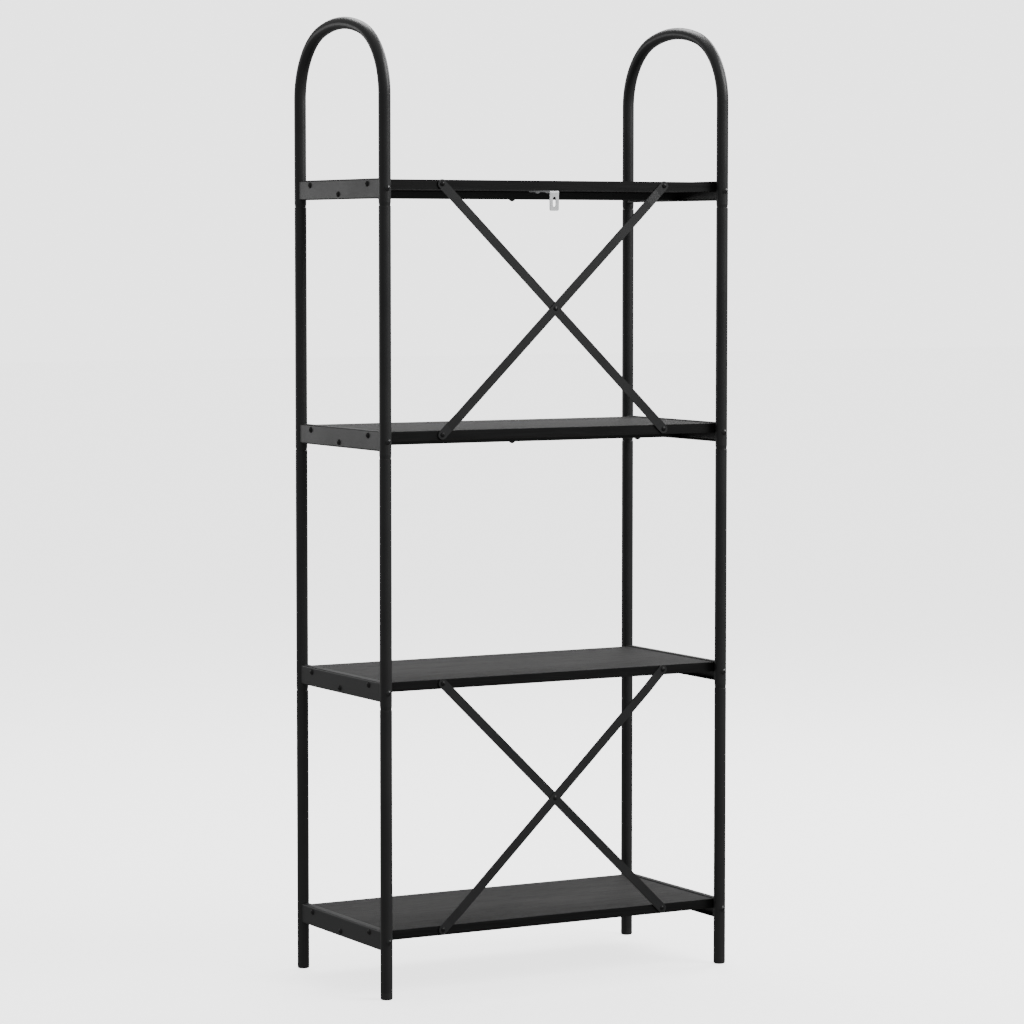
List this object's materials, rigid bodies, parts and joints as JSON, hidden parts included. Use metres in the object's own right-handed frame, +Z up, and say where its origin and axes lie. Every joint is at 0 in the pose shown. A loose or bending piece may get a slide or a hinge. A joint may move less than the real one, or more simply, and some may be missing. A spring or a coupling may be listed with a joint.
{
  "type": "open bookcase",
  "caption": "Open bookcase of black round steel tube with arched sides, wood-grain boards, crossed back braces and a wall bracket.",
  "frame": {"origin": "on the floor, midway between the four posts", "axes": "+Z up, the front faces -Y, +X to the right as seen from the front"},
  "size_m": [0.627, 0.3184, 1.5192],
  "materials": {
    "frame_steel": "fine-textured black powder coat, satin",
    "board_wood": "black wood-grain laminate on particle board, matt",
    "fastener_black": "black zinc, satin",
    "bolt_black": "black nickel, glossy",
    "bracket_zinc": "bright zinc plate",
    "foot_plastic": "moulded black plastic",
    "plug_plastic": "moulded black plastic"
  },
  "bodies": {
    "root": {"left_arch_tube": "frame_steel", "left_front_post_lower": "frame_steel", "left_front_post_middle": "frame_steel", "left_front_post_upper": "frame_steel", "left_front_foot_cap": "foot_plastic", "left_rear_post_lower": "frame_steel", "left_rear_post_middle": "frame_steel", "left_rear_post_upper": "frame_steel", "left_rear_foot_cap": "foot_plastic", "left_side_rail_1": "frame_steel", "left_side_rail_2": "frame_steel", "left_side_rail_3": "frame_steel", "left_side_rail_4": "frame_steel", "right_arch_tube": "frame_steel", "right_front_post_lower": "frame_steel", "right_front_post_middle": "frame_steel", "right_front_post_upper": "frame_steel", "right_front_foot_cap": "foot_plastic", "right_rear_post_lower": "frame_steel", "right_rear_post_middle": "frame_steel", "right_rear_post_upper": "frame_steel", "right_rear_foot_cap": "foot_plastic", "right_side_rail_1": "frame_steel", "right_side_rail_2": "frame_steel", "right_side_rail_3": "frame_steel", "right_side_rail_4": "frame_steel", "shelf_board_1": "board_wood", "support_bar_1": "frame_steel", "shelf_board_2": "board_wood", "support_bar_2": "frame_steel", "shelf_board_3": "board_wood", "support_bar_3": "frame_steel", "shelf_board_4": "board_wood", "support_bar_4": "frame_steel", "lower_brace_rising_right": "frame_steel", "lower_brace_rising_left": "frame_steel", "upper_brace_rising_right": "frame_steel", "upper_brace_rising_left": "frame_steel", "brace_crossing_rivets": "fastener_black", "wall_bracket": "bracket_zinc", "board_end_screws": "fastener_black", "support_bar_end_screws": "fastener_black", "support_bar_underside_screws": "fastener_black", "brace_end_screws": "fastener_black", "post_screws": "bolt_black", "wall_bracket_screws": "bracket_zinc", "support_bar_end_plugs": "plug_plastic"}
  },
  "joints": []
}
